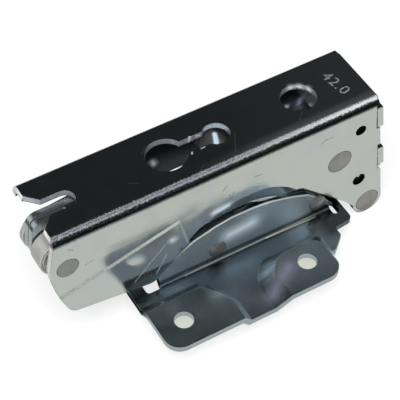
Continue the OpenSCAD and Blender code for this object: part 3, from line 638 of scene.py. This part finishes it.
def pressed_step(tree, look, at):
    step = both(tree, ramp(tree, at["turn_y"], 0.70, 0.78), ramp(tree, at["turn_y"], 0.97, 0.92),
                ramp_mm(tree, at["y"], 17, 16), ramp_mm(tree, at["z"], 34, 32))
    # Painted highlight: the step is painted pale and granular.
    step_highlight = over(tree, ramp(tree, at["grains"], *GRAIN_RANGE), (0.22, 0.24, 0.23, 1),
                  (0.46, 0.48, 0.46, 1))
    haze_over(tree, look, step, step_highlight, 0.65)


def arch_lights(tree, place, look):
    # A broad painted dark reflection, a painted highlight, a painted pale spot as a reflection,
    # and painted reflections of the flange's edges.
    gleam(tree, place, look, (-22.0, 15.3, 25.6), (-9.0, 15.3, 29.0), 6.0,
          (0.42, 0.46, 0.44, 1), 0.0)
    gleam(tree, place, look, (-1.8, WALL_Y, 24.2), (2.7, WALL_Y, 24.5), 2.4,
          (0.46, 0.58, 0.68, 1), 0.9)
    gleam(tree, place, look, (-15.7, PANEL_Y, 21.2), (-15.4, PANEL_Y, 20.8), 2.6,
          (0.60, 0.64, 0.62, 1), 0.6)
    scratches_and_glints(tree, place, look, FLANGE_LINES, (0.45, 0.48, 0.46, 1), 0.4, 0.6)


# %% [markdown]
# The walls of a folded channel spring open a little after bending, so they face a few degrees
# upwards and mirror paper a little further off. The solid's walls are upright, because every
# fit is worked out from them, so only the shading leans.

# %% Leaning walls and the channel's wear and painted light
WALL_LEAN = (0.02, 0.0, 0.085)


def leaning_walls(tree, look, at):
    lean = add(tree, "VectorTransform", {"vector_type": "VECTOR", "convert_from": "OBJECT",
                                         "convert_to": "WORLD"}, Vector=WALL_LEAN).outputs[0]
    lean = add(tree, "VectorMath", {"operation": "SCALE"}, in0=lean, Scale=at["on_wall"])
    leaning = add(tree, "VectorMath", {"operation": "ADD"}, in0=look["facing"],
                  in1=lean.outputs[0])
    look["facing"] = add(tree, "VectorMath", {"operation": "NORMALIZE"},
                         in0=leaning.outputs[0]).outputs[0]


def channel_wear_and_light(tree, place, look):
    """Every worn place and every painted light and shade of the channel, from the broad ones to
    the small.
    """
    at = channel_facts(tree, place)
    look["roughness"] = plus(tree, look["roughness"], times(tree, at["on_wall"], -0.09))
    painted_shade_inside(tree, look, at)
    sheared_faces(tree, place, look, at)
    scratches_and_glints(tree, place, look, wall_scratches, (0.20, 0.21, 0.20, 1), 0.30, 0.75)
    scratches_and_glints(tree, place, look, web_scratches, (0.50, 0.52, 0.55, 1), 0.06)
    web_film(tree, look, at)
    hole_lights(tree, place, look)
    painted_bend_reflection(tree, place, look, at)
    pressed_step(tree, look, at)
    arch_lights(tree, place, look)
    leaning_walls(tree, look, at)


# %% [markdown]
# The flange bracket is a bluer sheet. Its upright wall has a painted soft band of light from
# the arch's mouth and a painted highlight along its top rim, the fold below it has painted
# shade with one thin painted highlight that turns straw-coloured towards the front, the trough
# between the two raised lobes is painted darker as shade, their slopes get a painted lavender
# highlight, and the front arm is painted dark as shade. Light bounced inside so narrow a room
# costs many samples and still comes out grainy, so its broad tones are masks too, read from
# which way the sheet faces and how high it is.

# %% The bracket's painted light and shade
FOLD_HIGHLIGHT = [((-12.0, 14.7, 2.35), (16.0, 14.7, 2.35), 0.32)]
STRAW_HIGHLIGHT = [((16.0, 14.7, 2.35), (33.0, 14.3, 2.2), 0.32)]


def flange_sheet(tree, look, at):
    """The broad tones: upright wall, painted shade in the trough between the lobes, painted
    highlight on the rim, level sheet, and painted shade in the fold.
    """
    level = ramp(tree, at["turn_z"], 0.8, 0.95)
    above = ramp_mm(tree, at["z"], 3.6, 4.4)
    upright = both(tree, ramp(tree, at["turn_y"], 0.7, 0.9), above)
    look["haze"] = plus(tree, look["haze"], times(tree, upright, 0.16))
    # Painted shade in the trough between the lobes.
    trough_shade = both(tree, level, ramp_mm(tree, at["z"], 3.2, 2.4), ramp_mm(tree, at["y"], -2, 2),
                  ramp_mm(tree, at["x"], 26, 20), ramp_mm(tree, at["x"], -16, -10))
    look["colour"] = over(tree, times(tree, trough_shade, 0.62), look["colour"], (0.09, 0.12, 0.14, 1))
    # Painted highlight along the top rim of the upright wall.
    rim_highlight = both(tree, above, ramp(tree, at["turn_y"], 0.8, 0.6),
               ramp_mm(tree, at["y"], 15.2, 15.4), ramp_mm(tree, at["y"], 16.15, 15.85))
    haze_over(tree, look, rim_highlight, (0.55, 0.60, 0.58, 1), 0.6)
    plain = both(tree, level, ramp_mm(tree, at["y"], 13, 12))
    look["haze"] = plus(tree, look["haze"], times(tree, plain, 0.022))
    # Painted shade in the fold.
    fold_shade = both(tree, ramp_mm(tree, at["y"], 13.2, 13.8), ramp_mm(tree, at["z"], 4.2, 3.6))
    look["colour"] = over(tree, times(tree, fold_shade, 0.40), look["colour"], (0.10, 0.12, 0.12, 1))


def flange_painted_light(tree, place, look):
    at = facts_of(tree, place)
    flange_sheet(tree, look, at)
    # Painted highlights along the fold, a painted soft band of light on the upright wall, a
    # painted lavender highlight on the lobes' slopes, and painted shade over the front arm.
    scratches_and_glints(tree, place, look, FOLD_HIGHLIGHT, (0.34, 0.40, 0.36, 1), 0.4, 0.7)
    scratches_and_glints(tree, place, look, STRAW_HIGHLIGHT, (0.55, 0.56, 0.36, 1), 0.5)
    gleam(tree, place, look, (3.5, WALL_Y, 10.8), (11.0, WALL_Y, 11.6), 6.5,
          (0.62, 0.73, 0.80, 1), 0.60)
    gleam(tree, place, look, (6.0, -4.4, 2.8), (15.2, 1.0, 4.3), 4.5,
          (0.42, 0.42, 0.60, 1), 0.22)
    arm_shade = both(tree, ramp_mm(tree, at["x"], 29, 34), ramp_mm(tree, at["y"], 3, 7),
               ramp_mm(tree, at["z"], 6, 4))
    look["colour"] = over(tree, times(tree, arm_shade, 0.8), look["colour"], (0.05, 0.06, 0.055, 1))


# %% [markdown]
# Levers, rivets and springs are small and mostly hidden, so one even share of haze is enough
# for them. It is a plain number on the shader, since it is the same all over the piece. The
# bush that shows in the keyhole gets one painted highlight on top, by the same line mark as a
# scratch.

# %% Haze and painted highlight of the small pieces
BUSH_GLEAM = [((6.0, 27.7, 37.6), (7.3, 30.8, 37.7), 1.0)]


def even_haze(share, lines=(), colour=None, haze=0.9):
    """A wear_and_light function with one share of haze all over, and painted highlight lines if
    there are any.
    """
    def wear_and_light(tree, place, look):
        look["haze"] += share
        if lines:
            scratches_and_glints(tree, place, look, lines, colour, haze)
    return wear_and_light


# %% [markdown]
# Five finishes come out of the one plating recipe. The channel is pale with a warm drift, the
# flange bluer, the levers between them, and the rivets and springs are duller steel. Each CAD
# node takes the finish of its own material slot. Only the flange bracket, which shares its
# slot with the channel, gets one of its own, because the photograph shows it bluer.

# %% Finishes
channel_zinc = plating("channel_zinc", tint=(0.74, 0.76, 0.74, 1), cool=(0.70, 0.74, 0.76, 1),
                       straw=(0.77, 0.77, 0.71, 1), rough=0.20, wear_and_light=channel_wear_and_light)
flange_zinc = plating("flange_zinc", tint=(0.50, 0.58, 0.62, 1), cool=(0.45, 0.54, 0.60, 1),
                      straw=(0.58, 0.62, 0.58, 1), rough=0.22, drift=55.0,
                      edge_tint=(0.62, 0.66, 0.66, 1), edge_mm=0.25, wear_and_light=flange_painted_light)
lever_zinc = plating("lever_zinc", tint=(0.60, 0.63, 0.64, 1), cool=(0.54, 0.60, 0.64, 1),
                     straw=(0.64, 0.64, 0.58, 1), rough=0.24, wear_and_light=even_haze(0.04))
rivet_zinc = plating("rivet_zinc", tint=(0.37, 0.36, 0.355, 1), cool=(0.42, 0.41, 0.40, 1),
                     straw=(0.31, 0.30, 0.30, 1), rough=0.42, grain=0.7, drift=500.0,
                     edge_tint=(0.10, 0.10, 0.10, 1), edge_mm=0.30,
                     wear_and_light=even_haze(0.10, BUSH_GLEAM, (0.42, 0.55, 0.64, 1)))
spring_strip = plating("spring_strip", tint=(0.42, 0.41, 0.39, 1), cool=(0.39, 0.39, 0.38, 1),
                       straw=(0.44, 0.42, 0.38, 1), rough=0.42, drift=300.0,
                       wear_and_light=even_haze(0.6))
FINISH = {
    "zinc_sheet": channel_zinc, "zinc_lever": lever_zinc,
    "rivet_steel": rivet_zinc, "spring_steel": spring_strip,
}
slots = {part["node"]: part["material_slot"] for part in frame["record"]["subparts"]}
for node, solid in frame["nodes"].items():
    finish = flange_zinc if node == "flange_bracket" else FINISH[slots[node]]
    solid.data.materials.clear()
    solid.data.materials.append(finish)
print("nodes dressed:", len(frame["nodes"]))


# %% [markdown]
# In the photograph the channel is open at its far rear: white shows through the slot and past
# the closer, and the far wall there is a short stub under the web. The solid keeps a whole
# far wall. A CAD solid is never changed here, so what is shown is a copy that stands for it.
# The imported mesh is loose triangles, which is why the copy is welded first.

# %% Copies of the solids
WELD = 0.001 * MM


def merged_copy(node, body):
    """A copy of a CAD solid, welded, that stands for it and may be reshaped."""
    mesh = frame["nodes"][node].data.copy()
    piece = bpy.data.objects.new(node + "_shown", mesh)
    bpy.context.collection.objects.link(piece)
    shape = bmesh.new()
    shape.from_mesh(mesh)
    bmesh.ops.remove_doubles(shape, verts=shape.verts, dist=WELD)
    shape.to_mesh(mesh)
    shape.free()
    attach(piece, body)
    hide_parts(node)
    return piece


# %% [markdown]
# Sheet is cut with simple shapes, as a punch does: a disc and a block. The vertices could be
# moved by hand, but an exact boolean gives a clean closed mesh whatever the cut crosses. It
# is applied at once, so the piece that is left has a plain mesh and no modifier.

# %% Punch and patch
DISC_SIDES = 96


def upright_disc(centre, radius, low, high):
    """A disc with its axis upright, from low to high, in millimetres."""
    shape = bmesh.new()
    bmesh.ops.create_cone(shape, cap_ends=True, segments=DISC_SIDES, radius1=radius * MM,
                          radius2=radius * MM, depth=(high - low) * MM,
                          matrix=Matrix.Translation(Vector((*centre, 0.5 * (low + high))) * MM))
    return shape


def block(low, high):
    """A block between two corners, in millimetres."""
    shape = bmesh.new()
    low, high = Vector(low) * MM, Vector(high) * MM
    bmesh.ops.create_cube(shape, size=1.0, matrix=Matrix.Translation((low + high) / 2)
                          @ Matrix.Diagonal((*(high - low), 1.0)))
    return shape


def finished_by(piece, operation, shape):
    """Joins a simple bmesh shape to the piece, or cuts it out, and keeps the plain mesh."""
    tool_mesh = bpy.data.meshes.new("tool")
    shape.to_mesh(tool_mesh)
    shape.free()
    tool = bpy.data.objects.new("tool", tool_mesh)
    bpy.context.collection.objects.link(tool)
    change = piece.modifiers.new("change", "BOOLEAN")
    change.operation, change.solver, change.object = operation, "EXACT", tool
    graph = bpy.context.evaluated_depsgraph_get()
    result = bpy.data.meshes.new_from_object(piece.evaluated_get(graph))
    piece.modifiers.clear()
    piece.data = result
    bpy.data.objects.remove(tool, do_unlink=True)


# %% [markdown]
# A folded sheet is smooth round its bends and flat on its panels. Smooth shading alone would
# smear a bend's turn over the whole panel, and flat shading would show every facet of the
# bend. Edges past a set angle stay sharp, a shallow dish or step on a wall keeps a crisp
# border, and weighting the normals by area keeps the panels flat up to the bends.

# %% Even shading
SHARP_ANGLE = math.radians(28)
BELOW_BEND = (WEB_Z - 4) * MM
FLAT_WALL, SLOPED = 0.999, (0.5, 0.995)


def evenly_shaded(piece):
    """Smooth bends with flat panels."""
    piece.data.shade_smooth()
    piece.data.set_sharp_from_angle(angle=SHARP_ANGLE)
    shape = bmesh.new()
    shape.from_mesh(piece.data)
    for edge in shape.edges:
        sides = sorted(abs(face.normal.y) for face in edge.link_faces)
        low = max(vertex.co.z for vertex in edge.verts) < BELOW_BEND
        if low and len(sides) == 2 and sides[1] > FLAT_WALL and SLOPED[0] < sides[0] < SLOPED[1]:
            edge.smooth = False
    shape.to_mesh(piece.data)
    shape.free()
    even = piece.modifiers.new("even_shading", "WEIGHTED_NORMAL")
    even.keep_sharp = True
    even.weight = 100


# %% [markdown]
# The channel that is shown loses its far wall behind the arch, down from the stub under the
# web. It also gets the web's round hole anew: the solid has a shallow ring round it, which
# the photograph doesn't show, so a disc closes ring and hole and the hole is cut again.

# %% The channel as shown
HOLE_AT, HOLE_R, RING_R = (33.2, 27.75), 5.3, 7.4
STUB = 3.4
channel = merged_copy("door_channel", "door")
finished_by(channel, "UNION", upright_disc(HOLE_AT, RING_R, WEB_Z - 1.2, WEB_Z))
finished_by(channel, "DIFFERENCE", upright_disc(HOLE_AT, HOLE_R, WEB_Z - 3, WEB_Z + 1))
finished_by(channel, "DIFFERENCE", block((-60, 37.0, -1), (-27, 42.0, WEB_Z - STUB)))
evenly_shaded(channel)
print("channel shown, faces:", len(channel.data.polygons))

# %% [markdown]
# With that wall gone, the closer's far half would stand out into the open. Its pin, bush,
# rivet and spring are made shorter at their far ends and its far plate lies further in. Each
# is a copy whose points past a given y move in by the same amount, so their near ends and
# their round sections stay as they are.

# %% The closer's far half
DRAWN_IN = [
    ("closer_spring_far", "closing_lever", 33.0, 4.0),
    ("spring_anchor", "closing_lever", 28.0, 4.0),
    ("side_plate_far", "door", 30.0, 4.2),
    ("closer_bush", "door", 28.0, 4.1),
    ("closer_rivet", "door", 30.0, 5.6),
]
for node, body, beyond, by in DRAWN_IN:
    piece = merged_copy(node, body)
    for vertex in piece.data.vertices:
        if vertex.co.y > beyond * MM:
            vertex.co.y -= by * MM
    evenly_shaded(piece)
print("pieces drawn in:", len(DRAWN_IN))


# %% [markdown]
# A size number is struck into the web near its front end. It is a plain generic number here.
# Cutting it into the sheet would leave hundreds of thin faces in the channel. Its strokes are
# text made into a mesh instead, almost flush with the web, and what is seen of a strike is
# its dull granular floor, so the strokes scatter light where the web mirrors.

# %% Number finish
def struck(tree, place, look):
    grains = add(tree, "TexNoise", Vector=place, Scale=2600.0, Detail=2.0).outputs["Fac"]
    look["colour"] = over(tree, ramp(tree, grains, 0.38, 0.62), (0.07, 0.08, 0.08, 1),
                          (0.33, 0.35, 0.35, 1))
    look["haze"] = 0.85


BARE_STEEL = (0.6, 0.6, 0.6, 1)
struck_zinc = plating("struck_zinc", tint=BARE_STEEL, cool=BARE_STEEL, straw=BARE_STEEL,
                      rough=0.4, wear_and_light=struck)

# %% [markdown]
# The text is laid out at the world's middle, made a mesh there, and then moved and turned by
# its vertices, so the finished piece sits at the origin like every CAD node. Its top stands a
# fraction of a hair over the web, just enough that the two faces don't fight.

# %% Struck number
NUMBER_AT, NUMBER_TURN = (45.6, 27.2, WEB_Z + 0.01), math.radians(-80)
number_curve = bpy.data.curves.new("size_number", "FONT")
number_curve.body = "42.0"
number_curve.size = 4.9 * MM
number_curve.space_character = 1.15
number_curve.extrude = 0.015 * MM
number_curve.align_x, number_curve.align_y = "CENTER", "CENTER"
number_text = bpy.data.objects.new("size_number_text", number_curve)
bpy.context.collection.objects.link(number_text)
number_mesh = bpy.data.meshes.new_from_object(
    number_text.evaluated_get(bpy.context.evaluated_depsgraph_get()))
bpy.data.objects.remove(number_text, do_unlink=True)
number_mesh.transform(Matrix.Translation(Vector(NUMBER_AT) * MM)
                      @ Matrix.Rotation(NUMBER_TURN, 4, "Z"))
number_mesh.materials.clear()
number_mesh.materials.append(struck_zinc)
number = bpy.data.objects.new("size_number", number_mesh)
bpy.context.collection.objects.link(number)
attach(number, "door")
print("number strokes, faces:", len(number_mesh.polygons))
